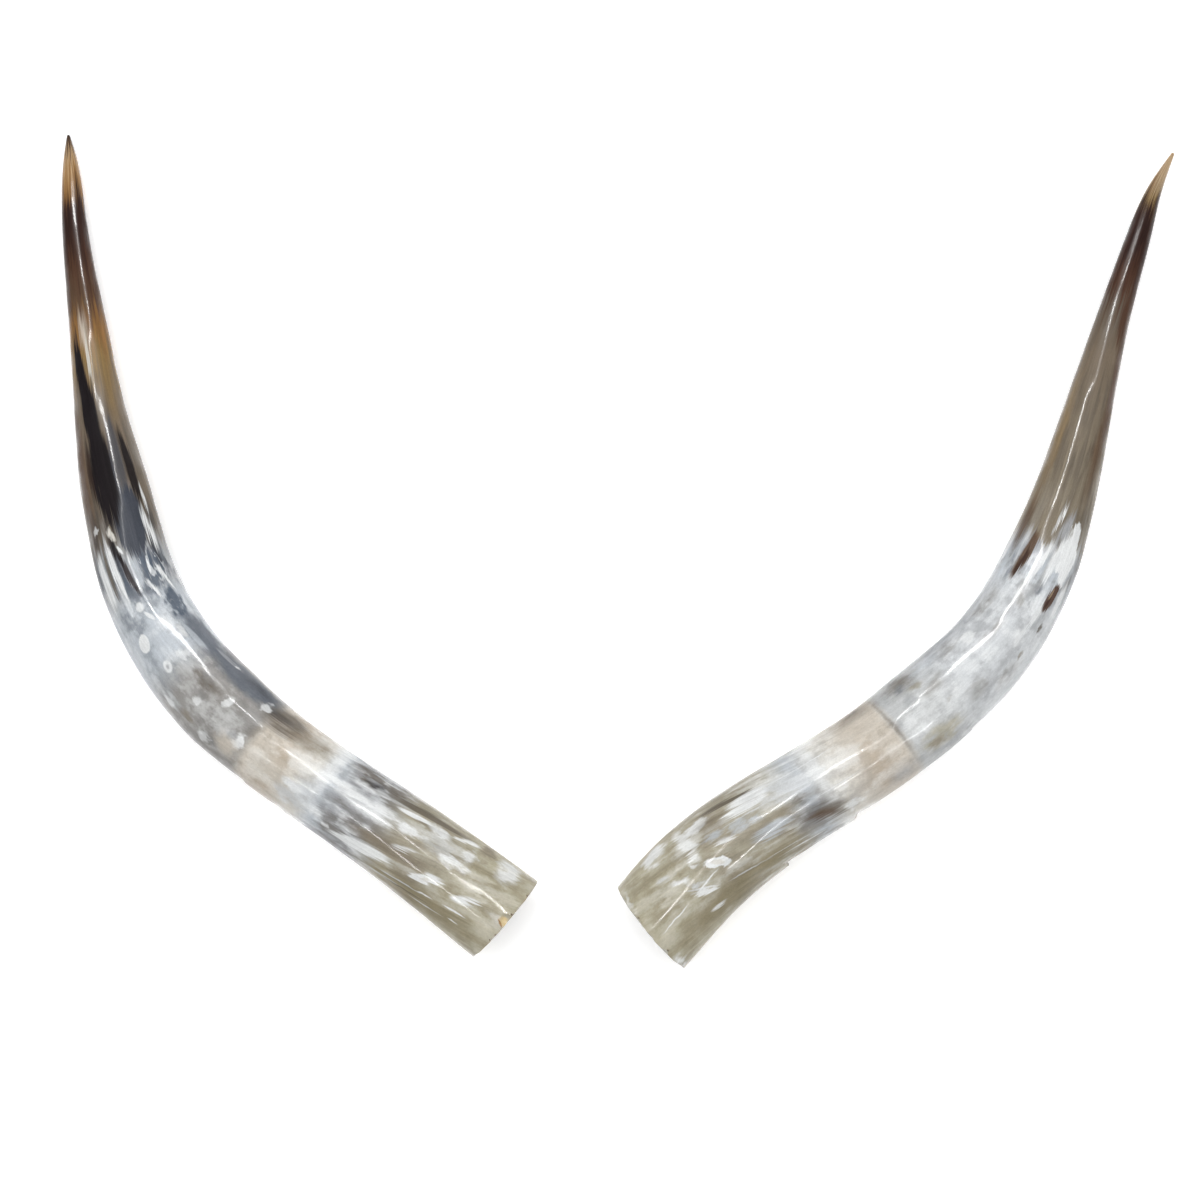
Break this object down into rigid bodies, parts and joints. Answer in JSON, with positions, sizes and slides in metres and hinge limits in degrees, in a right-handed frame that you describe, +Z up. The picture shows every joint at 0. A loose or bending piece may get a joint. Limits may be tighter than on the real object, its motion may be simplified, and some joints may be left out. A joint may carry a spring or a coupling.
{
  "type": "pair of polished cow horns",
  "caption": "Long curved cow horns, polished, hollow and open at the sawn end and solid at the point, lying as a matched pair with the sawn ends together",
  "frame": {"origin": "on the surface that the horns rest on, under the middle of the pair's bounding box", "axes": "+Z up, +Y from the sawn ends towards the points, +X from the left horn to the right horn as seen from above with the points away from the viewer"},
  "size_m": [1.0759, 0.8015, 0.0862],
  "materials": {
    "left_horn": "polished horn, grey-olive with white clouds at the sawn end, slate round the bend, dark plum and amber at the point",
    "right_horn": "polished horn, olive and milk-white clouds to the bend, smoky taupe beyond it, dark brown with a pale tan point"
  },
  "bodies": {
    "root": {"left_horn": "left_horn", "right_horn": "right_horn"}
  },
  "joints": []
}
